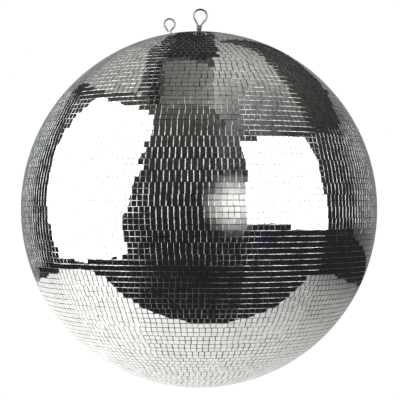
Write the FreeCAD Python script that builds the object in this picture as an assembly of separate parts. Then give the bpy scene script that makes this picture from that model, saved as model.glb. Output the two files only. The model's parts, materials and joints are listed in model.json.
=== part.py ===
import FreeCAD, Part
import math
import os

from FreeCAD import Vector

os.makedirs("parts", exist_ok=True)

# A 75 cm mirror ball. Millimetres, +Z up. The origin is where the ball's own axis
# meets the inside of the hanging ring's bow, which is where the hook carries it.

# ---- driving dimensions: mirror skin -----------------------------------------------
FACE_RADIUS = 375.0          # ball centre to the middle of a tile's face
TILE_THICKNESS = 1.5         # glass and its silvering
ROW_COUNT = 105              # rows of 10 mm tiles from pole to pole
ROW_GAP = 0.3                # between the rings that stand for the rows
GLUE_LINE = 0.3
ROWS_LEFT_OUT_AT_TOP = 2     # the cap washer takes their place
ROWS_PER_NODE = 8

# ---- driving dimensions: shells and equator joint ----------------------------------
SHELL_WALL = 2.0
HOOP_WALL = 2.5
HOOP_HEIGHT = 44.0
HOOP_RIVETS = 16
RIVET_SHANK = 4.0
RIVET_HEAD = 8.0
RIVET_HEAD_HEIGHT = 1.2
RIVET_ROW_HEIGHT = 12.0      # above and below the seam

# ---- driving dimensions: load path along the axis ----------------------------------
TOP_PLATE_RADIUS = 85.0
BOTTOM_PLATE_RADIUS = 50.0
PLATE_THICKNESS = 2.0
PLATE_SCREW_SIZE = 5.0
PLATE_SCREW_HEAD = 8.6
PLATE_SCREW_HEAD_HEIGHT = 1.8
PLATE_SCREW_TAIL = 6.5       # below the plate
PLATE_NUT_ACROSS_FLATS = 8.0
PLATE_NUT_HEIGHT = 4.0
TOP_PLATE_SCREWS = 6
TOP_SCREW_CIRCLE = 74.0      # radius, measured from the axis
TOP_SCREW_START = 60.0       # degrees, keeps the screws off the safety eye
BOTTOM_PLATE_SCREWS = 4
BOTTOM_SCREW_CIRCLE = 38.0
BOTTOM_SCREW_START = 45.0
ROD_DIAMETER = 8.0
STUD_LENGTH = 46.0           # the clevis's own stud, below the cap washer's top
ROD_NUT_ACROSS_FLATS = 13.0
ROD_NUT_HEIGHT = 6.5
COUPLER_LENGTH = 30.0
ROD_END_GAP = 1.0            # between stud and rod inside the coupler
INNER_WASHER_DIAMETER = 30.0
INNER_WASHER_THICKNESS = 2.0
WASHER_RELIEF = 0.3          # a flat washer stands off the dome's hollow by this much
NUT_RELIEF = 0.1             # a nut on a dome, at its middle
PLATE_NUT_RELIEF = 0.05
RIVET_HEAD_RELIEF = 0.03
TUBE_OUTER = 20.0
TUBE_WALL = 1.5
BUSH_FLANGE = 26.0
BUSH_FLANGE_HEIGHT = 3.0
BUSH_SPIGOT_HEIGHT = 12.0
CAP_WASHER_DIAMETER = 40.0
CAP_WASHER_THICKNESS = 1.5
CAP_WASHER_FLAT = 0.6        # depth of the shell's flat under it
NUT_CHAMFER = 0.12           # share of the width across flats
TOOL_REACH = 20.0            # how far a cutting tool runs past what it cuts

# ---- driving dimensions: clevis, pin and hanging ring ------------------------------
FOOT_ACROSS_FLATS = 12.0
FOOT_HEIGHT = 4.6
FOOT_TURNED_DIAMETER = 13.2
FOOT_CHAMFER = 0.9
NECK_DIAMETER = 9.4
NECK_TOP = 6.6               # above the cap washer
HEAD_DIAMETER = 11.2
HEAD_CHAMFER = 0.8
HEAD_START = 8.4             # above the cap washer
HEAD_TOP = 16.4
PIN_HEIGHT = 11.5
PIN_DIAMETER = 2.6
PIN_HEAD_DIAMETER = 4.2
PIN_HEAD_HEIGHT = 0.5
RING_WIRE = 4.2
RING_CLEARANCE = 0.1         # between the ring's bend and the pin
SLOT_CLEARANCE = 0.35        # each side of the wire
RING_BOW_RADIUS = 13.9       # centreline
RING_BOW_HEIGHT = 25.2       # pin to the bow's centre
RING_LEG_LENGTH = 4.6        # straight legs inside the clevis
RING_LEG_FILLET = 3.2
RING_LEAN = 6.0              # degrees towards +X, as it stands

# ---- driving dimensions: safety eye ------------------------------------------------
EYE_OFFSET = -59.2           # along X, where it leaves the ball
EYE_WIRE = 4.0
EYE_RADIUS = 11.3            # centreline
EYE_HEIGHT = 23.2            # tile faces to the loop's centre
EYE_STEM_LEG_ANGLE = 56.0    # degrees off the stem, on the side that joins it
EYE_FREE_LEG_ANGLE = 27.0    # degrees off the stem, on the open side
EYE_FREE_LEG_LENGTH = 11.4
EYE_STEM_FILLET = 5.0
EYE_NUT_ACROSS_FLATS = 7.0
EYE_NUT_HEIGHT = 2.2
EYE_LOCK_NUT_HEIGHT = 3.2
EYE_WASHER_DIAMETER = 14.0
EYE_WASHER_HEIGHT = 1.2
EYE_STEM_BELOW_NUT = 3.0

# ---- sizes worked out from them ----------------------------------------------------
SKIN_INNER = FACE_RADIUS - TILE_THICKNESS
SHELL_OUTER = SKIN_INNER - GLUE_LINE
SHELL_INNER = SHELL_OUTER - SHELL_WALL
ROW_ANGLE = math.pi / ROW_COUNT
WASHER_SEAT = SHELL_OUTER - CAP_WASHER_FLAT
WASHER_TOP = WASHER_SEAT + CAP_WASHER_THICKNESS
PLATE_FACE = SHELL_INNER - PLATE_THICKNESS
RING_BEND_RADIUS = PIN_DIAMETER / 2 + RING_CLEARANCE + RING_WIRE / 2

LEAN = math.radians(RING_LEAN)
BOW_SIDE_SHIFT = RING_BOW_HEIGHT * math.sin(LEAN)
BOW_INNER_RADIUS = RING_BOW_RADIUS - RING_WIRE / 2
HANG_HEIGHT = (WASHER_TOP + PIN_HEIGHT + RING_BOW_HEIGHT * math.cos(LEAN)
               + math.sqrt(BOW_INNER_RADIUS ** 2 - BOW_SIDE_SHIFT ** 2))
CENTRE = Vector(0, 0, -HANG_HEIGHT)
Y_AXIS = Vector(0, 1, 0)
Z_AXIS = Vector(0, 0, 1)


def write(name, shape):
    """Move a shape built round the ball's centre into the part's frame and save it."""
    placed = shape.copy()
    placed.translate(CENTRE)
    placed.exportStep("parts/" + name + ".step")


def drum(diameter, low, high):
    return Part.makeCylinder(diameter / 2, high - low, Vector(0, 0, low), Z_AXIS)


def hexagon(across_flats, low, high):
    corner = across_flats / math.sqrt(3)
    points = [Vector(corner * math.cos(math.radians(60 * side)),
                     corner * math.sin(math.radians(60 * side)), low) for side in range(7)]
    return Part.Face(Part.makePolygon(points)).extrude(Vector(0, 0, high - low))


def hex_nut(across_flats, low, high, bore):
    """A nut with its corners turned off on both faces."""
    corner = across_flats / math.sqrt(3)
    chamfer = NUT_CHAMFER * across_flats
    profile = [Vector(0, 0, low), Vector(corner - chamfer, 0, low),
               Vector(corner, 0, low + chamfer / 2), Vector(corner, 0, high - chamfer / 2),
               Vector(corner - chamfer, 0, high), Vector(0, 0, high), Vector(0, 0, low)]
    turned = Part.Face(Part.makePolygon(profile)).revolve(Vector(), Z_AXIS, 360)
    return hexagon(across_flats, low, high).common(turned).cut(drum(bore, low - 1, high + 1))


def turned_ring(points):
    """Revolve a closed outline of (radius, height) points round the ball's axis."""
    outline = [Vector(radius, 0, height) for radius, height in points]
    face = Part.Face(Part.makePolygon(outline + outline[:1]))
    return face.revolve(Vector(), Z_AXIS, 360)


def cap_of_ball(outer, inner, low, high):
    """The part of a hollow ball between two heights."""
    wall = Part.makeSphere(outer).cut(Part.makeSphere(inner))
    band = Part.makeCylinder(outer + 1, high - low, Vector(0, 0, low), Z_AXIS)
    return wall.common(band)


def height_on(radius, off_axis):
    return math.sqrt(radius ** 2 - off_axis ** 2)


def stand_on_ball(shape, lean_deg, turn_deg):
    """Lean a shape built on the axis away from it, then turn it about the axis."""
    placed = shape.copy()
    placed.rotate(Vector(), Y_AXIS, lean_deg)
    placed.rotate(Vector(), Z_AXIS, turn_deg)
    return placed


def wire_along(edges, diameter):
    """A round wire that follows joined edges, starting square to the first."""
    path = Part.Wire(edges)
    first = edges[0]
    start = first.valueAt(first.FirstParameter)
    direction = first.tangentAt(first.FirstParameter)
    section = Part.Wire(Part.makeCircle(diameter / 2, start, direction))
    return path.makePipeShell([section], True, True)


# ---- mirror skin -------------------------------------------------------------------
def mirror_row(row):
    """One row of tiles as a ring whose outside is a straight line from edge to edge."""
    tilt = math.pi / 2 - ROW_ANGLE * (row + 0.5)
    outward = (math.cos(tilt), math.sin(tilt))
    along = (-math.sin(tilt), math.cos(tilt))

    def corner(depth, slide):
        radius = outward[0] * depth + along[0] * slide
        return (max(radius, 0.0), outward[1] * depth + along[1] * slide)

    half = FACE_RADIUS * math.tan(ROW_ANGLE / 2) - ROW_GAP / 2
    half_inner = half * SKIN_INNER / FACE_RADIUS
    return turned_ring([corner(SKIN_INNER, -half_inner), corner(FACE_RADIUS, -half),
                        corner(FACE_RADIUS, half), corner(SKIN_INNER, half_inner)])


def bottom_tile():
    """The tiles that close the bottom pole, as one disc."""
    reach = FACE_RADIUS * math.tan(ROW_ANGLE) - ROW_GAP / 2
    return Part.makeCylinder(reach, TILE_THICKNESS, Vector(0, 0, -FACE_RADIUS), Z_AXIS)


def mirror_zones():
    """Rows in groups, top to bottom; the last row is the closing disc."""
    rows = list(range(ROWS_LEFT_OUT_AT_TOP, ROW_COUNT - 1))
    zones = [rows[start:start + ROWS_PER_NODE] for start in range(0, len(rows), ROWS_PER_NODE)]
    eye_row = int(math.radians(-EYE_LEAN) / ROW_ANGLE)
    for number, zone in enumerate(zones, 1):
        solids = [mirror_row(row) for row in zone]
        if eye_row in zone:
            at = zone.index(eye_row)
            solids[at] = drill(solids[at], [(EYE_LEAN, 0)], EYE_WIRE)
        if zone is zones[-1]:
            solids.append(bottom_tile())
        write("mirror_rows_%02d" % number, Part.makeCompound(solids))


# ---- shells and the equator joint --------------------------------------------------
def rivet_axes(upwards):
    lean = 90 - upwards * math.degrees(math.asin(RIVET_ROW_HEIGHT / SHELL_OUTER))
    return [(lean, 360.0 / HOOP_RIVETS * number) for number in range(HOOP_RIVETS)]


def screw_axes(count, circle, start, side):
    lean = math.degrees(math.asin(circle / SHELL_OUTER))
    if side < 0:
        lean = 180 - lean
    return [(lean, start + 360.0 / count * number) for number in range(count)]


TOP_SCREWS = screw_axes(TOP_PLATE_SCREWS, TOP_SCREW_CIRCLE, TOP_SCREW_START, 1)
BOTTOM_SCREWS = screw_axes(BOTTOM_PLATE_SCREWS, BOTTOM_SCREW_CIRCLE, BOTTOM_SCREW_START,
                            -1)
EYE_LEAN = math.degrees(math.asin(EYE_OFFSET / FACE_RADIUS))


def drill(shape, axes, diameter):
    """Cut a round hole through the wall along each leaning axis."""
    for lean, turn in axes:
        tool = drum(diameter, SHELL_INNER - TOOL_REACH, FACE_RADIUS + TOOL_REACH)
        shape = shape.cut(stand_on_ball(tool, lean, turn))
    return shape


def countersink(shape, axes):
    """Sink the plate screws' cone heads into a shell's outside."""
    for axis in axes:
        shape = shape.cut(stand_on_ball(screw_head(), *axis))
    return shape


def upper_shell():
    """The upper half ball, with a flat at the pole for the cap washer."""
    shell = cap_of_ball(SHELL_OUTER, SHELL_INNER, 0.0, SHELL_OUTER + 1)
    shell = shell.cut(drum(ROD_DIAMETER, 0, FACE_RADIUS + TOOL_REACH))
    shell = shell.cut(drum(CAP_WASHER_DIAMETER, WASHER_SEAT, SHELL_OUTER + 1))
    shell = countersink(drill(shell, TOP_SCREWS, PLATE_SCREW_SIZE), TOP_SCREWS)
    shell = drill(shell, [(EYE_LEAN, 0)], EYE_WIRE)
    return drill(shell, rivet_axes(1), RIVET_SHANK)


def lower_shell():
    shell = cap_of_ball(SHELL_OUTER, SHELL_INNER, -SHELL_OUTER - 1, 0.0)
    shell = countersink(drill(shell, BOTTOM_SCREWS, PLATE_SCREW_SIZE), BOTTOM_SCREWS)
    return drill(shell, rivet_axes(-1), RIVET_SHANK)


def equator_hoop():
    hoop = cap_of_ball(SHELL_INNER, SHELL_INNER - HOOP_WALL, -HOOP_HEIGHT / 2, HOOP_HEIGHT / 2)
    return drill(hoop, rivet_axes(1) + rivet_axes(-1), RIVET_SHANK)


def hoop_rivets(upwards):
    """Blind rivets: shank through shell and hoop, a set head inside, flush outside."""
    inside = SHELL_INNER - HOOP_WALL
    under = inside - RIVET_HEAD_RELIEF
    rivet = drum(RIVET_SHANK, under, SHELL_OUTER)
    head = drum(RIVET_HEAD, under - RIVET_HEAD_HEIGHT, under)
    rivet = rivet.fuse(head).removeSplitter()
    return Part.makeCompound([stand_on_ball(rivet, *axis) for axis in rivet_axes(upwards)])


# ---- plates, screws and the rod ----------------------------------------------------
def load_plate(radius, side, axes, extra_holes):
    """A dished steel disc that lies against the inside of a shell."""
    edge = height_on(SHELL_INNER, radius)
    low, high = sorted((side * edge, side * (SHELL_INNER + 1)))
    plate = cap_of_ball(SHELL_INNER, SHELL_INNER - PLATE_THICKNESS, low, high)
    plate = plate.common(Part.makeCylinder(radius, 2 * FACE_RADIUS,
                                           Vector(0, 0, -FACE_RADIUS), Z_AXIS))
    far = side * (FACE_RADIUS + TOOL_REACH)
    plate = plate.cut(drum(ROD_DIAMETER, min(0, far), max(0, far)))
    plate = drill(plate, axes, PLATE_SCREW_SIZE)
    return drill(plate, extra_holes, EYE_WIRE)


def screw_head():
    return Part.makeCone(PLATE_SCREW_SIZE / 2, PLATE_SCREW_HEAD / 2, PLATE_SCREW_HEAD_HEIGHT,
                         Vector(0, 0, SHELL_OUTER - PLATE_SCREW_HEAD_HEIGHT), Z_AXIS)


def plate_screws(axes):
    """Screws with their cone heads sunk flush in the shell, under the tiles."""
    shank = drum(PLATE_SCREW_SIZE, PLATE_FACE - PLATE_SCREW_TAIL, SHELL_OUTER)
    screw = shank.fuse(screw_head()).removeSplitter()
    return Part.makeCompound([stand_on_ball(screw, *axis) for axis in axes])


def plate_nuts(axes):
    seat = PLATE_FACE - PLATE_NUT_RELIEF
    nut = hex_nut(PLATE_NUT_ACROSS_FLATS, seat - PLATE_NUT_HEIGHT, seat, PLATE_SCREW_SIZE)
    return Part.makeCompound([stand_on_ball(nut, *axis) for axis in axes])


# Down the axis from the top: cap washer, shell, load plate, inner washer, lock nut,
# bush, spacer tube round the coupler and rod, bush, weld nut, anchor plate, shell.
INNER_WASHER_TOP = PLATE_FACE - WASHER_RELIEF
LOCK_NUT_TOP = INNER_WASHER_TOP - INNER_WASHER_THICKNESS
TUBE_TOP = LOCK_NUT_TOP - ROD_NUT_HEIGHT - BUSH_FLANGE_HEIGHT
STUD_END = WASHER_TOP - STUD_LENGTH
WELD_NUT_BOTTOM = -PLATE_FACE + NUT_RELIEF
TUBE_BOTTOM = WELD_NUT_BOTTOM + ROD_NUT_HEIGHT + BUSH_FLANGE_HEIGHT


def centre_rod():
    return drum(ROD_DIAMETER, WELD_NUT_BOTTOM, STUD_END - ROD_END_GAP)


def rod_coupler():
    """The long nut that joins the clevis's stud to the centre rod."""
    return hex_nut(ROD_NUT_ACROSS_FLATS, STUD_END - COUPLER_LENGTH / 2,
                   STUD_END + COUPLER_LENGTH / 2, ROD_DIAMETER)


def rod_nut(low):
    return hex_nut(ROD_NUT_ACROSS_FLATS, low, low + ROD_NUT_HEIGHT, ROD_DIAMETER)


def spacer_tube():
    bore = TUBE_OUTER - 2 * TUBE_WALL
    return drum(TUBE_OUTER, TUBE_BOTTOM, TUBE_TOP).cut(drum(bore, TUBE_BOTTOM, TUBE_TOP))


def tube_bush(end, towards_pole):
    """A flanged plastic bush that centres the tube on the rod."""
    spigot = TUBE_OUTER - 2 * TUBE_WALL
    flange_low, flange_high = sorted((end, end + towards_pole * BUSH_FLANGE_HEIGHT))
    spigot_low, spigot_high = sorted((end, end - towards_pole * BUSH_SPIGOT_HEIGHT))
    bush = drum(BUSH_FLANGE, flange_low, flange_high)
    bush = bush.fuse(drum(spigot, spigot_low, spigot_high)).removeSplitter()
    return bush.cut(drum(ROD_DIAMETER, spigot_low - TOOL_REACH, spigot_high + TOOL_REACH))


def flat_washer(diameter, bore, low, high):
    return drum(diameter, low, high).cut(drum(bore, low, high))


# ---- clevis, pin and hanging ring --------------------------------------------------
def hanger_clevis():
    """Stud, hex foot, neck and slotted round head, turned from one bar."""
    base = WASHER_TOP
    stud = ROD_DIAMETER / 2
    foot = FOOT_TURNED_DIAMETER / 2
    neck = NECK_DIAMETER / 2
    head = HEAD_DIAMETER / 2
    turned_foot = turned_ring([(0, base), (foot, base),
                               (foot, base + FOOT_HEIGHT - FOOT_CHAMFER),
                               (foot - FOOT_CHAMFER, base + FOOT_HEIGHT),
                               (0, base + FOOT_HEIGHT)])
    hex_foot = hexagon(FOOT_ACROSS_FLATS, base, base + FOOT_HEIGHT).common(turned_foot)
    barrel = turned_ring([(0, STUD_END), (stud, STUD_END), (stud, base + 1), (neck, base + 1),
                          (neck, base + NECK_TOP), (head, base + HEAD_START),
                          (head, base + HEAD_TOP - HEAD_CHAMFER),
                          (head - HEAD_CHAMFER, base + HEAD_TOP), (0, base + HEAD_TOP)])
    body = hex_foot.fuse(barrel).removeSplitter()
    slot_width = RING_WIRE + 2 * SLOT_CLEARANCE
    floor = base + PIN_HEIGHT - RING_BEND_RADIUS - RING_WIRE / 2 - SLOT_CLEARANCE
    slot = Part.makeBox(TOOL_REACH, slot_width, TOOL_REACH,
                        Vector(-TOOL_REACH / 2, -slot_width / 2, floor))
    body = body.cut(slot)
    cross = Part.makeCylinder(PIN_DIAMETER / 2, TOOL_REACH,
                              Vector(0, -TOOL_REACH / 2, base + PIN_HEIGHT), Y_AXIS)
    return body.cut(cross)


def clevis_pin():
    """A riveted pin along Y with a shallow head each side of the clevis."""
    height = WASHER_TOP + PIN_HEIGHT
    reach = HEAD_DIAMETER / 2
    pin = Part.makeCylinder(PIN_DIAMETER / 2, 2 * reach, Vector(0, -reach, height), Y_AXIS)
    for side in (-1, 1):
        head = Part.makeCylinder(PIN_HEAD_DIAMETER / 2, PIN_HEAD_HEIGHT,
                                 Vector(0, side * reach, height), Vector(0, side, 0))
        pin = pin.fuse(head)
    return pin.removeSplitter()


def arc(centre, radius, start_deg, middle_deg, end_deg):
    """An arc in the XZ plane; angles run from +X towards +Z."""
    points = [Vector(centre[0] + radius * math.cos(math.radians(angle)), 0,
                     centre[1] + radius * math.sin(math.radians(angle)))
              for angle in (start_deg, middle_deg, end_deg)]
    return Part.Arc(*points).toShape(), points


def line(start, end):
    return Part.LineSegment(start, end).toShape()


def leg_tangent(bow_centre, bow_radius, fillet_centre, fillet_radius):
    """Degrees off the ring's own axis of the straight leg from a fillet to the bow.

    The fillet curves the other way from the bow, so the leg is their inner tangent.
    """
    across = fillet_centre[0] - bow_centre[0]
    down = bow_centre[1] - fillet_centre[1]
    distance = math.hypot(across, down)
    return math.degrees(math.asin((bow_radius + fillet_radius) / distance)
                        - math.atan2(across, down))


def hanging_ring():
    """Pear-shaped closed wire: a bow, two legs that close in, and a bend round the pin."""
    bow = (0.0, RING_BOW_HEIGHT)
    fillet = (RING_BEND_RADIUS + RING_LEG_FILLET, RING_LEG_LENGTH)
    leg = leg_tangent(bow, RING_BOW_RADIUS, fillet, RING_LEG_FILLET)
    big, big_points = arc(bow, RING_BOW_RADIUS, -leg, 90, 180 + leg)
    left, left_points = arc((-fillet[0], fillet[1]), RING_LEG_FILLET, leg, leg / 2, 0)
    bend, bend_points = arc((0, 0), RING_BEND_RADIUS, 180, 270, 360)
    right, right_points = arc(fillet, RING_LEG_FILLET, 180, 180 - leg / 2, 180 - leg)
    edges = [big, line(big_points[2], left_points[0]), left,
             line(left_points[2], bend_points[0]), bend,
             line(bend_points[2], right_points[0]), right,
             line(right_points[2], big_points[0])]
    ring = wire_along(edges, RING_WIRE)
    ring.rotate(Vector(), Y_AXIS, RING_LEAN)
    ring.translate(Vector(0, 0, WASHER_TOP + PIN_HEIGHT))
    return ring


# ---- safety eye --------------------------------------------------------------------
EYE_WASHER_LOW = PLATE_FACE - WASHER_RELIEF - EYE_WASHER_HEIGHT
EYE_LOCK_NUT_LOW = EYE_WASHER_LOW - EYE_LOCK_NUT_HEIGHT
EYE_BOTTOM = EYE_LOCK_NUT_LOW - EYE_STEM_BELOW_NUT


def safety_eye():
    """An open wire eye on a straight stem, built on the axis and then leant over."""
    centre = (0.0, FACE_RADIUS + EYE_HEIGHT)
    loop, points = arc(centre, EYE_RADIUS, -EYE_STEM_LEG_ANGLE, 90, 180 + EYE_FREE_LEG_ANGLE)
    lean = math.radians(EYE_STEM_LEG_ANGLE)
    start = points[0]
    meet = start.z - start.x / math.tan(lean)
    trim = EYE_STEM_FILLET * math.tan(lean / 2)
    stem_top = Vector(0, 0, meet - trim)
    leg_low = Vector(trim * math.sin(lean), 0, meet + trim * math.cos(lean))
    bend_centre = Vector(EYE_STEM_FILLET, 0, meet - trim)
    middle = bend_centre + Vector(-EYE_STEM_FILLET * math.cos(lean / 2), 0,
                                  EYE_STEM_FILLET * math.sin(lean / 2))
    free = math.radians(EYE_FREE_LEG_ANGLE)
    end = points[2] + Vector(math.sin(free), 0, -math.cos(free)) * EYE_FREE_LEG_LENGTH
    edges = [line(Vector(0, 0, EYE_BOTTOM), stem_top),
             Part.Arc(stem_top, middle, leg_low).toShape(),
             line(leg_low, start), loop, line(points[2], end)]
    return stand_on_ball(wire_along(edges, EYE_WIRE), EYE_LEAN, 0)


def eye_hardware():
    """Nut on the tiles, washer and lock nut under the top load plate."""
    seat = FACE_RADIUS + NUT_RELIEF
    outside = hex_nut(EYE_NUT_ACROSS_FLATS, seat, seat + EYE_NUT_HEIGHT, EYE_WIRE)
    washer = flat_washer(EYE_WASHER_DIAMETER, EYE_WIRE, EYE_WASHER_LOW,
                         EYE_WASHER_LOW + EYE_WASHER_HEIGHT)
    inside = hex_nut(EYE_NUT_ACROSS_FLATS, EYE_LOCK_NUT_LOW, EYE_WASHER_LOW, EYE_WIRE)
    pieces = {"safety_eye_nut": outside, "safety_eye_inner_washer": washer,
              "safety_eye_lock_nut": inside}
    return {name: stand_on_ball(piece, EYE_LEAN, 0) for name, piece in pieces.items()}


mirror_zones()
write("upper_shell", upper_shell())
write("lower_shell", lower_shell())
write("equator_hoop", equator_hoop())
write("hoop_rivets_upper", hoop_rivets(1))
write("hoop_rivets_lower", hoop_rivets(-1))
write("top_load_plate", load_plate(TOP_PLATE_RADIUS, 1, TOP_SCREWS, [(EYE_LEAN, 0)]))
write("top_plate_screws", plate_screws(TOP_SCREWS))
write("top_plate_nuts", plate_nuts(TOP_SCREWS))
write("bottom_anchor_plate", load_plate(BOTTOM_PLATE_RADIUS, -1, BOTTOM_SCREWS, []))
write("bottom_plate_screws", plate_screws(BOTTOM_SCREWS))
write("bottom_plate_nuts", plate_nuts(BOTTOM_SCREWS))
write("bottom_weld_nut", rod_nut(WELD_NUT_BOTTOM))
write("centre_rod", centre_rod())
write("rod_coupler", rod_coupler())
write("spacer_tube", spacer_tube())
write("tube_bush_top", tube_bush(TUBE_TOP, 1))
write("tube_bush_bottom", tube_bush(TUBE_BOTTOM, -1))
write("cap_washer", flat_washer(CAP_WASHER_DIAMETER, ROD_DIAMETER, WASHER_SEAT, WASHER_TOP))
write("stud_washer", flat_washer(INNER_WASHER_DIAMETER, ROD_DIAMETER, LOCK_NUT_TOP,
                                 INNER_WASHER_TOP))
write("stud_lock_nut", rod_nut(LOCK_NUT_TOP - ROD_NUT_HEIGHT))
write("hanger_clevis", hanger_clevis())
write("clevis_pin", clevis_pin())
write("hanging_ring", hanging_ring())
write("safety_eye", safety_eye())
for piece_name, piece_shape in eye_hardware().items():
    write(piece_name, piece_shape)
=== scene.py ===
import json
import math
import random

import bpy
import numpy as np
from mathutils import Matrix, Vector


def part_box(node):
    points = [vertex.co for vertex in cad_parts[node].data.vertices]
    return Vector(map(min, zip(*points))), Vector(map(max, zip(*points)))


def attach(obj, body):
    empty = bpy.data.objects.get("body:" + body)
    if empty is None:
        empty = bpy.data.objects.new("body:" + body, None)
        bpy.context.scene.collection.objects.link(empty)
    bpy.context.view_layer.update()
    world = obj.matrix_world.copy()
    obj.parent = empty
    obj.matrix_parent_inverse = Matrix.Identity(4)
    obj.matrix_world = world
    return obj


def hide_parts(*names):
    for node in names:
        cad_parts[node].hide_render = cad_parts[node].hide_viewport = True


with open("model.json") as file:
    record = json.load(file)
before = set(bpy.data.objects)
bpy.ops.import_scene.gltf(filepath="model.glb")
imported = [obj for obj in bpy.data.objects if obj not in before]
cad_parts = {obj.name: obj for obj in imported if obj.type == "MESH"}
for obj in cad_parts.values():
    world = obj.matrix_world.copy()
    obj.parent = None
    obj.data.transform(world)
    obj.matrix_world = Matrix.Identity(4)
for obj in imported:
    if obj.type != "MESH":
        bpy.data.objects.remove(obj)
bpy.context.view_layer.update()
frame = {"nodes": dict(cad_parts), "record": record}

# Metres, in the part's own frame: +Z up, origin where a hook carries the hanging ring.

# ---- the ball ----------------------------------------------------------------------
FACE_RADIUS = 0.375          # ball centre to the middle of a tile's face
ROW_COUNT = 105              # rows of tiles from pole to pole
TOP_ROWS_LEFT_OUT = 2        # the cap washer takes their place
ROWS_PER_NODE = 8
TILE_FACE = 0.0096           # the flat mirror
EDGE_ROUND = 0.0006          # the rounding adds this on each side of it
TILE_WIDTH = TILE_FACE + 2 * EDGE_ROUND
TILE_DEPTH = 0.00175         # glass, silvering and the glue under it
EDGE_DROP = 0.00030          # how far down the rounding goes
EDGE_TURN = math.radians(50)      # the normal's lean at the outer end of the rounding
TILE_LEAN = math.radians(0.22)    # spread of the tiles' leans
ODD_TILE_LEAN = math.radians(1.7)
ODD_TILE_SHARE = 0.012
TILE_SHIFT = 0.00010         # spread of their places
TILE_TWIST = math.radians(0.55)
POLE_STRIP = 0.0040          # the cut strips round the bottom tile
POLE_GAP = 0.0008
ROW_ANGLE = math.pi / ROW_COUNT
ROW_PITCH = FACE_RADIUS * ROW_ANGLE
STRIPS_END = math.radians(50)     # strips two rows high end this far from the equator
LAID_FROM = math.radians(-105)    # the meridian that the strips were laid from
LAID_SPREAD = 0.28                # how far from it they start, in tiles
TILE_SEED = 75
CENTRE = Vector((0, 0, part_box("upper_shell")[0].z))
EYE_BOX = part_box("safety_eye_nut")
EYE_PLACE = (EYE_BOX[0] + EYE_BOX[1]) / 2 - CENTRE
EYE_ROW = int(EYE_PLACE.angle(Vector((0, 0, 1))) / ROW_ANGLE)

# ---- studio ------------------------------------------------------------------------
CAMERA_DISTANCE = 2.78
SENSOR = 36.0                # millimetres, like the lens
LENS = 117.8
AIM_UP = math.radians(0.403)
AIM_RIGHT = math.radians(0.041)
FLOOR_DROP = 0.45            # floor below the ball, which hangs
FLOOR_RADIUS = 2.35
SOFTBOX_STRENGTH = 3.4


# ---- material helpers --------------------------------------------------------------
def fill_ramp(node, stops):
    """stops: (position, colour) pairs; a plain number is a grey."""
    elements = node.color_ramp.elements
    while len(elements) < len(stops):
        elements.new(0.5)
    for element, (position, colour) in zip(elements, stops):
        grey = isinstance(colour, (int, float))
        element.position = position
        element.color = (colour, colour, colour, 1) if grey else (*colour, 1)


class Material:
    """A node material with a Principled shader and short ways to wire into it."""

    def __init__(self, name, colour, rough, metal=0.0):
        self.data = bpy.data.materials.new(name)
        self.data.use_nodes = True
        self.nodes = self.data.node_tree.nodes
        self.links = self.data.node_tree.links
        self.shader = self.nodes["Principled BSDF"]
        self.set("Base Color", (*colour, 1))
        self.set("Roughness", rough)
        self.set("Metallic", metal)
        self.place = self.nodes.new("ShaderNodeTexCoord").outputs["Object"]

    def set(self, socket, value):
        self.shader.inputs[socket].default_value = value

    def link(self, source, target):
        self.links.new(source, target)
        return source

    def noise(self, scale, detail=3.0, rough=0.55, stretch=(1, 1, 1)):
        mapping = self.nodes.new("ShaderNodeMapping")
        mapping.inputs["Scale"].default_value = stretch
        node = self.nodes.new("ShaderNodeTexNoise")
        node.inputs["Scale"].default_value = scale
        node.inputs["Detail"].default_value = detail
        node.inputs["Roughness"].default_value = rough
        self.link(self.place, mapping.inputs["Vector"])
        self.link(mapping.outputs["Vector"], node.inputs["Vector"])
        return node.outputs["Fac"]

    def attribute(self, name):
        node = self.nodes.new("ShaderNodeAttribute")
        node.attribute_name = name
        return node.outputs["Fac"]

    def ramp(self, source, stops):
        node = self.nodes.new("ShaderNodeValToRGB")
        fill_ramp(node, stops)
        self.link(source, node.inputs["Fac"])
        return node.outputs["Color"]

    def multiply(self, first, second):
        node = self.nodes.new("ShaderNodeMix")
        node.data_type = "RGBA"
        node.blend_type = "MULTIPLY"
        node.inputs["Factor"].default_value = 1.0
        self.link(first, node.inputs["A"])
        self.link(second, node.inputs["B"])
        return node.outputs["Result"]

    def bump(self, height, strength, distance):
        node = self.nodes.new("ShaderNodeBump")
        node.inputs["Strength"].default_value = strength
        node.inputs["Distance"].default_value = distance
        self.link(height, node.inputs["Height"])
        self.link(node.outputs["Normal"], self.shader.inputs["Normal"])


def mirror_glass():
    """Silvered glass: each tile has its own faint tone, with a trace of haze."""
    m = Material("mirror_glass", (0.9, 0.91, 0.91), 0.02, metal=1.0)
    tones = [(0.0, (0.84, 0.845, 0.84)), (0.5, (0.90, 0.905, 0.90)), (1.0, (0.95, 0.955, 0.96))]
    tone = m.ramp(m.attribute("tile_tone"), tones)
    haze = m.ramp(m.noise(9.0, 5.0), [(0.35, 0.97), (0.7, 1.0)])
    m.link(m.multiply(tone, haze), m.shader.inputs["Base Color"])
    smear = m.ramp(m.noise(55.0, 4.0, stretch=(1, 1, 0.4)), [(0.4, 0.012), (0.75, 0.05)])
    m.link(smear, m.shader.inputs["Roughness"])
    return m.data


def seamed_edge():
    """The rounded edges of the tiles: silvered, duller than the face in places."""
    m = Material("seamed_edge", (0.85, 0.87, 0.86), 0.06, metal=1.0)
    chips = m.ramp(m.noise(320.0, 4.0), [(0.3, (0.70, 0.72, 0.71)), (0.6, (0.90, 0.92, 0.91))])
    dull = m.ramp(m.noise(60.0, 2.0), [(0.36, 0.22), (0.6, 1.0)])
    m.link(m.multiply(chips, dull), m.shader.inputs["Base Color"])
    m.link(m.ramp(m.noise(210.0, 3.0), [(0.35, 0.03), (0.7, 0.14)]), m.shader.inputs["Roughness"])
    return m.data


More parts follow.
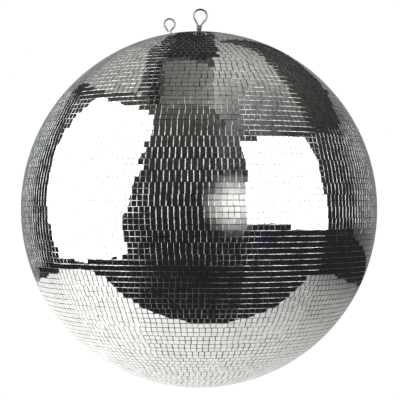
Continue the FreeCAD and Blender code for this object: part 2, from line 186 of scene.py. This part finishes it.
def glass_edge():
    """The cut sides of the tiles: grey-green frosted glass."""
    m = Material("glass_edge", (0.1, 0.11, 0.105), 0.35)
    m.link(m.ramp(m.noise(320.0, 3.0), [(0.3, (0.06, 0.067, 0.063)), (0.7, (0.14, 0.152, 0.147))]),
           m.shader.inputs["Base Color"])
    return m.data


def core_plastic():
    """The moulded core seen in the joints, with dried glue on it."""
    m = Material("black_abs", (0.06, 0.06, 0.062), 0.55)
    tones = [(0.35, (0.012, 0.012, 0.012)), (0.6, (0.035, 0.035, 0.034)),
             (0.8, (0.12, 0.115, 0.105))]
    m.link(m.ramp(m.noise(140.0, 6.0, 0.65), tones), m.shader.inputs["Base Color"])
    m.bump(m.noise(420.0, 4.0), 0.35, 0.0004)
    return m.data


def metal(name, dark, light, rough_low, rough_high, grain, scratch=0.08):
    """Plated or polished steel: clouded tone, fine scratches, uneven polish."""
    m = Material(name, light, rough_low, metal=1.0)
    m.link(m.ramp(m.noise(grain, 5.0, 0.6), [(0.3, dark), (0.72, light)]),
           m.shader.inputs["Base Color"])
    m.link(m.ramp(m.noise(grain * 2.3, 4.0), [(0.3, rough_low), (0.75, rough_high)]),
           m.shader.inputs["Roughness"])
    m.bump(m.noise(900.0, 3.0, stretch=(1, 1, 0.12)), scratch, 0.0002)
    return m.data


def nylon():
    m = Material("nylon", (0.75, 0.73, 0.68), 0.45)
    m.link(m.ramp(m.noise(90.0, 4.0), [(0.3, (0.68, 0.66, 0.60)), (0.7, (0.80, 0.78, 0.73))]),
           m.shader.inputs["Base Color"])
    m.bump(m.noise(600.0, 3.0), 0.15, 0.0002)
    return m.data


METALS = {                   # dark and light tone, roughness low and high, grain, scratches
    "polished_steel": ((0.24, 0.238, 0.23), (0.36, 0.357, 0.345), 0.2, 0.34, 60.0),
    "yellow_zinc": ((0.085, 0.082, 0.06), (0.17, 0.165, 0.125), 0.38, 0.6, 220.0, 0.2),
    "bright_zinc": ((0.30, 0.30, 0.285), (0.44, 0.44, 0.42), 0.42, 0.6, 160.0, 0.15),
    "plain_steel": ((0.38, 0.385, 0.39), (0.58, 0.59, 0.60), 0.25, 0.45, 90.0, 0.15),
    "rivet_aluminium": ((0.55, 0.555, 0.56), (0.75, 0.755, 0.76), 0.25, 0.4, 150.0),
}
MATERIALS = {"mirror_glass": mirror_glass(), "black_abs": core_plastic(), "nylon": nylon()}
MATERIALS.update((name, metal(name, *look)) for name, look in METALS.items())
SEAMED_EDGE = seamed_edge()
GLASS_EDGE = glass_edge()


def dress_cad_nodes():
    """Each CAD node that stays visible gets its slot's material."""
    for entry in frame["record"]["subparts"]:
        node = frame["nodes"][entry["node"]]
        material = MATERIALS[entry["material_slot"]]
        if not node.material_slots:
            node.data.materials.append(material)
        for slot in node.material_slots:
            slot.material = material


# ---- mirror tiles ------------------------------------------------------------------
# A tile's twelve corners: inner face, outer edge of the rounding, base.
CORNERS = np.array([(-1, -1), (1, -1), (1, 1), (-1, 1)], dtype=float)
TILE_FACES = ([(0, 1, 2, 3)]
              + [(side, side + 4, (side + 1) % 4 + 4, (side + 1) % 4) for side in range(4)]
              + [(side + 4, side + 8, (side + 1) % 4 + 8, (side + 1) % 4 + 4) for side in range(4)]
              + [(11, 10, 9, 8)])
PART_OF_FACE = [0] + [1] * 4 + [2] * 5   # mirror, its four roundings, the cut sides and back


class Tile:
    """One tile's place: where it stands on the ball, its size and its own small errors."""

    def __init__(self, polar, azimuth, width, height, dice, slide=(0.0, 0.0)):
        out = Vector((math.sin(polar) * math.cos(azimuth), math.sin(polar) * math.sin(azimuth),
                      math.cos(polar)))
        east = Vector((-math.sin(azimuth), math.cos(azimuth), 0))
        north = out.cross(east)
        odd = dice.random() < ODD_TILE_SHARE
        lean = ODD_TILE_LEAN if odd else TILE_LEAN
        leans = (dice.gauss(0, lean), dice.gauss(0, lean))
        shifts = (dice.gauss(0, TILE_SHIFT), dice.gauss(0, TILE_SHIFT))
        twist = dice.gauss(0, TILE_TWIST)
        middle = (out * FACE_RADIUS + east * (slide[0] + shifts[0])
                  + north * (slide[1] + shifts[1]))
        out = (out + east * leans[0] + north * leans[1]).normalized()
        turned = east * math.cos(twist) + north * math.sin(twist)
        self.along = (turned - out * turned.dot(out)).normalized()
        self.across = out.cross(self.along)
        self.out = out
        self.middle = CENTRE + middle
        self.half = (width / 2, height / 2)
        self.tone = dice.random()

    def points(self):
        rings = ((EDGE_ROUND, 0.0), (0.0, EDGE_DROP), (0.0, TILE_DEPTH))
        for inset, depth in rings:
            for x, y in CORNERS:
                yield (self.middle + self.along * (x * (self.half[0] - inset))
                       + self.across * (y * (self.half[1] - inset)) - self.out * depth)

    def side(self, number):
        """The outward direction of side 0..3, matching TILE_FACES."""
        return (-self.across, self.along, self.across, -self.along)[number]

    def loop_normals(self):
        normals = [self.out] * 4
        for number in range(4):
            turned = (self.out * math.cos(EDGE_TURN) + self.side(number) * math.sin(EDGE_TURN))
            normals += [self.out, turned, turned, self.out]
        for number in range(4):
            normals += [self.side(number)] * 4
        return normals + [-self.out] * 4


def build_tiles(name, node, tiles):
    """All the tiles of one CAD node's rows as one mesh of closed boxes."""
    points = [tuple(point) for tile in tiles for point in tile.points()]
    faces = [tuple(12 * number + corner for corner in face)
             for number in range(len(tiles)) for face in TILE_FACES]
    mesh = bpy.data.meshes.new(name)
    mesh.from_pydata(points, [], faces)
    mesh.materials.append(MATERIALS["mirror_glass"])
    mesh.materials.append(SEAMED_EDGE)
    mesh.materials.append(GLASS_EDGE)
    mesh.polygons.foreach_set("material_index", PART_OF_FACE * len(tiles))
    mesh.polygons.foreach_set("use_smooth", [True] * len(faces))
    tone = mesh.attributes.new("tile_tone", "FLOAT", "FACE")
    tone.data.foreach_set("value", [tile.tone for tile in tiles for _ in TILE_FACES])
    mesh.normals_split_custom_set([n for tile in tiles for n in tile.loop_normals()])
    piece = bpy.data.objects.new(name, mesh)
    bpy.context.collection.objects.link(piece)
    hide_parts(node)
    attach(piece, "ball")


def room_in(row):
    """How many tiles fit round the tighter edge of a row."""
    polar = ROW_ANGLE * (row + 0.5)
    tight = FACE_RADIUS * math.sin(polar) - TILE_WIDTH / 2 * abs(math.cos(polar))
    return round(math.tau * tight / ROW_PITCH)


def strip_of(row):
    """Tiles come in strips two rows high; near the poles they are laid row by row."""
    first = row - row % 2
    away = abs(first + 1 - ROW_COUNT / 2) * ROW_ANGLE
    return [row] if away > STRIPS_END else [first, first + 1]


def row_tiles(row, dice):
    """A level row of whole tiles, in line with the other row of its strip."""
    strip = strip_of(row)
    count = min(room_in(member) for member in strip)
    step = math.tau / count
    if row == EYE_ROW:
        start = math.pi     # a whole tile stands under the safety eye's nut
    else:
        start = LAID_FROM + random.Random(strip[0]).gauss(0, LAID_SPREAD) * step
    return [Tile(ROW_ANGLE * (row + 0.5), start + number * step, TILE_WIDTH, TILE_WIDTH, dice)
            for number in range(count)]


def pole_tiles(dice):
    """The bottom pole: one whole tile with four cut strips round it."""
    reach = TILE_WIDTH / 2 + POLE_GAP + POLE_STRIP / 2
    tiles = [Tile(math.pi, 0, TILE_WIDTH, TILE_WIDTH, dice)]
    for slide in ((0, reach), (0, -reach)):
        tiles.append(Tile(math.pi, 0, TILE_WIDTH, POLE_STRIP, dice, slide))
    for slide in ((reach, 0), (-reach, 0)):
        tiles.append(Tile(math.pi, 0, POLE_STRIP, TILE_WIDTH, dice, slide))
    return tiles


def mirror_skin():
    """Every row of tiles, a CAD node's rows at a time; the pole goes with the last."""
    dice = random.Random(TILE_SEED)
    rows = list(range(TOP_ROWS_LEFT_OUT, ROW_COUNT - 1))
    starts = range(0, len(rows), ROWS_PER_NODE)
    for number, start in enumerate(starts, 1):
        zone = rows[start:start + ROWS_PER_NODE]
        tiles = [tile for row in zone for tile in row_tiles(row, dice)]
        if zone[-1] == rows[-1]:
            tiles += pole_tiles(dice)
        build_tiles("tiles_%02d" % number, "mirror_rows_%02d" % number, tiles)


# ---- studio: what the mirrors see --------------------------------------------------
WHITE = (1.0, 0.995, 0.99)
WARM = (1.0, 0.985, 0.95)
OLIVE = (1.0, 0.98, 0.90)
BUFF = (1.0, 0.98, 0.87)
COOL = (0.93, 0.98, 1.0)
NAVY = (0.015, 0.015, 0.055)
WALL_TONES = [(-1.0, 0.70), (0.75, 0.74), (0.95, 1.0)]   # by how far a direction points away
ROOM_TONES = [(0.0, (0.017, 0.016, 0.018)), (0.45, (0.020, 0.019, 0.022)),
              (0.54, (0.024, 0.023, 0.027)), (0.68, (0.033, 0.031, 0.033)),
              (0.80, (0.046, 0.045, 0.042)), (0.90, (0.072, 0.070, 0.060))]

# Outlines as (azimuth, elevation) in degrees from the ball's centre, azimuth 0 at the camera.
SOFTBOX_LEFT = [(-104, 46.5), (-81, 51.5), (-36, 52), (-34, 40), (-36, 13), (-42, -3), (-43, -24),
                (-94, -20), (-98, -4), (-106, 28)]
SOFTBOX_RIGHT = [(27, 36), (50, 37), (75, 34), (77, 8), (79, -9), (54, -9), (52, -6.5),
                 (25, -6.5), (26, 5), (28, 20)]
CEILING = [(-128, 74), (110, 84), (14, 58), (-33, 57)]
CEILING_RIGHT = [(172, 55), (155, 52), (119, 57), (98, 50), (84, 38), (53, 38), (20, 41),
                 (13, 58), (110, 84)]
CEILING_LEFT = [(-165, 30), (-142, 34), (-110, 48), (-64, 60), (-110, 68), (-152, 56)]
WALL_LEFT = [(-118, -16), (-165, -14), (-165, 28), (-140, 30), (-118, 26)]
WALL_RIGHT = [(104, -10), (165, -10), (165, 26), (128, 30), (104, 22)]
DARK_CAP = [(-133, 69), (-161, 54), (-174, 35), (176, 37), (171, 60), (150, 76), (-169, 82)]
DARK_ARM = [(-130, 71), (-104, 69.5), (-48, 57), (-38, 57), (-39, 61), (-125, 74)]
BACK_LEFT = [(-176, 6), (-150, 6), (-142, 33), (-150, 54), (-163, 53), (-176, 30)]
BACK_RIGHT = [(177, 6), (168, 6), (168, 36), (171, 55), (177, 50)]
CEILING_FRONT = [(-33, 57), (14, 58), (12, 26), (-30, 26)]
FRONT_CARD = [(9, 58), (21, 41), (30, 40), (30, 12), (9, 12)]
NAVY_CARD = [(34, -15), (40, -15), (40, -19), (34, -19)]
LAMP = (19, 3)               # its middle
LAMP_RADIUS = 18

# The white table almost touches the ball; its corners are in metres, from the ball's axis.
TABLE_DROP = 0.376
TABLE = [(-0.85, -0.02), (-0.75, -0.29), (-0.53, -0.40), (0.05, -0.345), (0.66, -0.30),
         (0.76, -0.12), (0.82, 2.8), (-0.84, 2.8)]

# Brightness along one axis or from the middle outwards, as (metres, value).
# Painted light and shade on the white table: bright at the left, dimmer to the right.
TABLE_PAINTED_LIGHT = [(-0.85, 1.0), (-0.5, 1.14), (-0.24, 1.16), (-0.1, 1.0), (0.05, 0.86), (0.16, 0.76),
                (0.28, 0.62), (0.42, 0.44), (0.54, 0.40), (0.7, 0.24), (0.82, 0.15)]
LAMP_GRADES = [(0.0, 1.3), (0.24, 1.0), (0.38, 0.52), (0.52, 0.17), (0.66, 0.016)]
CEILING_GRADES = [(-0.7, 0.12), (0.0, 0.22), (0.3, 0.34)]
CEILING_RIGHT_GRADES = [(1.1, 0.10), (1.35, 0.23), (1.55, 0.42), (1.7, 0.52), (1.78, 0.60)]
CEILING_FRONT_GRADES = [(0.8, 0.026), (1.2, 0.062), (1.5, 0.11)]
FRONT_CARD_GRADES = [(0.5, 0.03), (1.4, 0.085), (1.8, 0.16)]
WALL_LEFT_GRADES = [(-1.6, 0.09), (-0.6, 0.38)]
WALL_RIGHT_GRADES = [(0.6, 0.32), (1.5, 0.09), (1.75, 0.045)]
FLOOR_PAINTED_GLOW = [(0.0, 0.36), (1.2, 0.44), (FLOOR_RADIUS, 0.60)]


def glow_tree(name):
    """An empty emission material: its node tree and its emission node."""
    data = bpy.data.materials.new(name)
    data.use_nodes = True
    tree = data.node_tree
    tree.nodes.clear()
    glow = tree.nodes.new("ShaderNodeEmission")
    out = tree.nodes.new("ShaderNodeOutputMaterial")
    tree.links.new(glow.outputs[0], out.inputs["Surface"])
    return data, tree, glow


def glow(name, colour, strength):
    data, _, emission = glow_tree(name)
    emission.inputs["Color"].default_value = (*colour, 1)
    emission.inputs["Strength"].default_value = strength
    return data


def graded(tree, measure, colour, stops, target):
    """Feed target a colour that follows measure, in metres: stops are (metres, value)."""
    low, high = stops[0][0], stops[-1][0]
    ramp = tree.nodes.new("ShaderNodeValToRGB")
    spread = tree.nodes.new("ShaderNodeMapRange")
    spread.inputs["From Min"].default_value = low
    spread.inputs["From Max"].default_value = high
    fill_ramp(ramp, [((reach - low) / (high - low), tuple(value * part for part in colour))
                     for reach, value in stops])
    tree.links.new(measure, spread.inputs["Value"])
    tree.links.new(spread.outputs[0], ramp.inputs["Fac"])
    tree.links.new(ramp.outputs["Color"], target)


def line_glow(name, colour, stops, axis):
    """A glow that changes along one axis."""
    data, tree, emission = glow_tree(name)
    place = tree.nodes.new("ShaderNodeTexCoord")
    split = tree.nodes.new("ShaderNodeSeparateXYZ")
    tree.links.new(place.outputs["Object"], split.inputs[0])
    graded(tree, split.outputs[axis], colour, stops, emission.inputs["Color"])
    return data


def round_glow(name, colour, stops, middle):
    """A glow that changes with the distance from a point."""
    data, tree, emission = glow_tree(name)
    place = tree.nodes.new("ShaderNodeTexCoord")
    away = tree.nodes.new("ShaderNodeVectorMath")
    away.operation = "DISTANCE"
    away.inputs[1].default_value = middle
    tree.links.new(place.outputs["Object"], away.inputs[0])
    graded(tree, away.outputs["Value"], colour, stops, emission.inputs["Color"])
    return data


def towards(azimuth, elevation, distance):
    """A place round the ball: azimuth 0 is the camera's side and 90 is its right."""
    a, e = math.radians(azimuth), math.radians(elevation)
    return Vector((math.sin(a) * math.cos(e), -math.cos(a) * math.cos(e), math.sin(e))) * distance


def sheet(name, material, corners):
    """A flat light or card seen only in reflections; corners are measured from the ball."""
    mesh = bpy.data.meshes.new(name)
    mesh.from_pydata([tuple(corner) for corner in corners], [], [tuple(range(len(corners)))])
    mesh.materials.append(material)
    piece = bpy.data.objects.new(name, mesh)
    bpy.context.collection.objects.link(piece)
    piece.location = CENTRE
    piece.visible_camera = False
    piece.visible_shadow = False


def round_the_ball(distance, directions):
    return [towards(azimuth, elevation, distance) for azimuth, elevation in directions]


def dark_room():
    """To reflections a dim room, cool at the floor and olive above.

    The camera sees white paper behind the ball and pale walls to its sides.
    """
    world = bpy.data.worlds.new("dark_room")
    bpy.context.scene.world = world
    world.use_nodes = True
    tree = world.node_tree
    tree.nodes.clear()
    place = tree.nodes.new("ShaderNodeTexCoord")
    split = tree.nodes.new("ShaderNodeSeparateXYZ")
    ramp = tree.nodes.new("ShaderNodeValToRGB")
    room = tree.nodes.new("ShaderNodeBackground")
    seen = tree.nodes.new("ShaderNodeBackground")
    path = tree.nodes.new("ShaderNodeLightPath")
    mix = tree.nodes.new("ShaderNodeMixShader")
    out = tree.nodes.new("ShaderNodeOutputWorld")
    height = tree.nodes.new("ShaderNodeMapRange")
    height.inputs["From Min"].default_value = -1.0
    height.inputs["From Max"].default_value = 1.0
    tree.links.new(place.outputs["Generated"], split.inputs[0])
    tree.links.new(split.outputs["Z"], height.inputs["Value"])
    tree.links.new(height.outputs[0], ramp.inputs["Fac"])
    fill_ramp(ramp, ROOM_TONES)
    tree.links.new(ramp.outputs["Color"], room.inputs["Color"])
    graded(tree, split.outputs["Y"], (1, 1, 1), WALL_TONES, seen.inputs["Color"])
    tree.links.new(path.outputs["Is Camera Ray"], mix.inputs[0])
    tree.links.new(room.outputs[0], mix.inputs[1])
    tree.links.new(seen.outputs[0], mix.inputs[2])
    tree.links.new(mix.outputs[0], out.inputs["Surface"])


def lamp_outline():
    steps = 40
    turns = [math.tau * step / steps for step in range(steps)]
    return [(LAMP[0] + LAMP_RADIUS * math.cos(a), LAMP[1] + LAMP_RADIUS * math.sin(a))
            for a in turns]


def cards():
    """Each light or card: its name, outline, distance in metres and material. Only the softboxes
    and the round lamp are lamps; the ceiling, walls, back, cards and black cloth glow, painted
    light for how the room is lit.

    A nearer one hides those behind it.
    """
    cloth = glow("black_cloth", COOL, 0.026)
    lamp_middle = towards(*LAMP, 2.1)
    return [
        ("softbox_left", SOFTBOX_LEFT, 1.8, glow("softbox_left", WHITE, SOFTBOX_STRENGTH)),
        ("softbox_right", SOFTBOX_RIGHT, 1.8, glow("softbox_right", WHITE, SOFTBOX_STRENGTH)),
        ("round_lamp", lamp_outline(), 2.1,
         round_glow("round_lamp", WARM, LAMP_GRADES, lamp_middle)),
        ("ceiling", CEILING, 1.8, line_glow("ceiling", BUFF, CEILING_GRADES, "X")),
        ("ceiling_right", CEILING_RIGHT, 1.8,
         line_glow("ceiling_right", WARM, CEILING_RIGHT_GRADES, "Z")),
        ("ceiling_left", CEILING_LEFT, 1.8, glow("ceiling_left", WARM, 0.38)),
        ("dark_cap", DARK_CAP, 1.7, cloth),
        ("dark_arm", DARK_ARM, 1.7, cloth),
        ("back_left", BACK_LEFT, 1.9, glow("back_left", WARM, 0.3)),
        ("back_right", BACK_RIGHT, 1.9, glow("back_right", WARM, 0.3)),
        ("ceiling_front", CEILING_FRONT, 1.8,
         line_glow("ceiling_front", OLIVE, CEILING_FRONT_GRADES, "Z")),
        ("front_card", FRONT_CARD, 2.2, line_glow("front_card", WARM, FRONT_CARD_GRADES, "Z")),
        ("wall_left", WALL_LEFT, 1.8, line_glow("wall_left", COOL, WALL_LEFT_GRADES, "X")),
        ("wall_right", WALL_RIGHT, 1.8, line_glow("wall_right", WARM, WALL_RIGHT_GRADES, "X")),
        ("navy_card", NAVY_CARD, 2.0, glow("navy_card", NAVY, 1.0)),
    ]


def studio():
    dark_room()
    for name, outline, distance, material in cards():
        sheet(name, material, round_the_ball(distance, outline))
    # The white table glows, brighter at the left than at the right: painted light and shade.
    sheet("white_table", line_glow("white_table", WARM, TABLE_PAINTED_LIGHT, "X"),
          [Vector((x, y, -TABLE_DROP)) for x, y in TABLE])
    floor()


def floor():
    """A pale round floor that ends out of the main camera's sight. It glows, dimmer under the ball
    and brighter to the rim: painted light that makes it as pale as the walls there.
    """
    mesh = bpy.data.meshes.new("floor")
    steps = 96
    rim = [math.tau * step / steps for step in range(steps)]
    mesh.from_pydata([(math.cos(a) * FLOOR_RADIUS, math.sin(a) * FLOOR_RADIUS, 0) for a in rim],
                     [], [tuple(range(steps))])
    piece = bpy.data.objects.new("floor", mesh)
    bpy.context.collection.objects.link(piece)
    piece.location = (0, 0, CENTRE.z - FACE_RADIUS - FLOOR_DROP)
    piece.visible_glossy = False
    material = Material("floor", (0.3, 0.3, 0.3), 0.8)
    tree = material.data.node_tree
    away = tree.nodes.new("ShaderNodeVectorMath")
    away.operation = "LENGTH"
    material.link(material.place, away.inputs[0])
    # Painted light: the floor's glow, from under the ball out to the rim.
    graded(tree, away.outputs["Value"], (1, 1, 1), FLOOR_PAINTED_GLOW,
           material.shader.inputs["Emission Color"])
    material.set("Emission Strength", 1.0)
    mesh.materials.append(material.data)


def camera():
    data = bpy.data.cameras.new("camera")
    data.lens = LENS
    data.sensor_width = SENSOR
    piece = bpy.data.objects.new("camera", data)
    bpy.context.collection.objects.link(piece)
    piece.location = CENTRE + Vector((0, -CAMERA_DISTANCE, 0))
    piece.rotation_euler = (math.pi / 2 + AIM_UP, 0, -AIM_RIGHT)
    bpy.context.scene.camera = piece


camera()
dress_cad_nodes()
mirror_skin()
studio()
bpy.context.scene.view_settings.view_transform = "Standard"
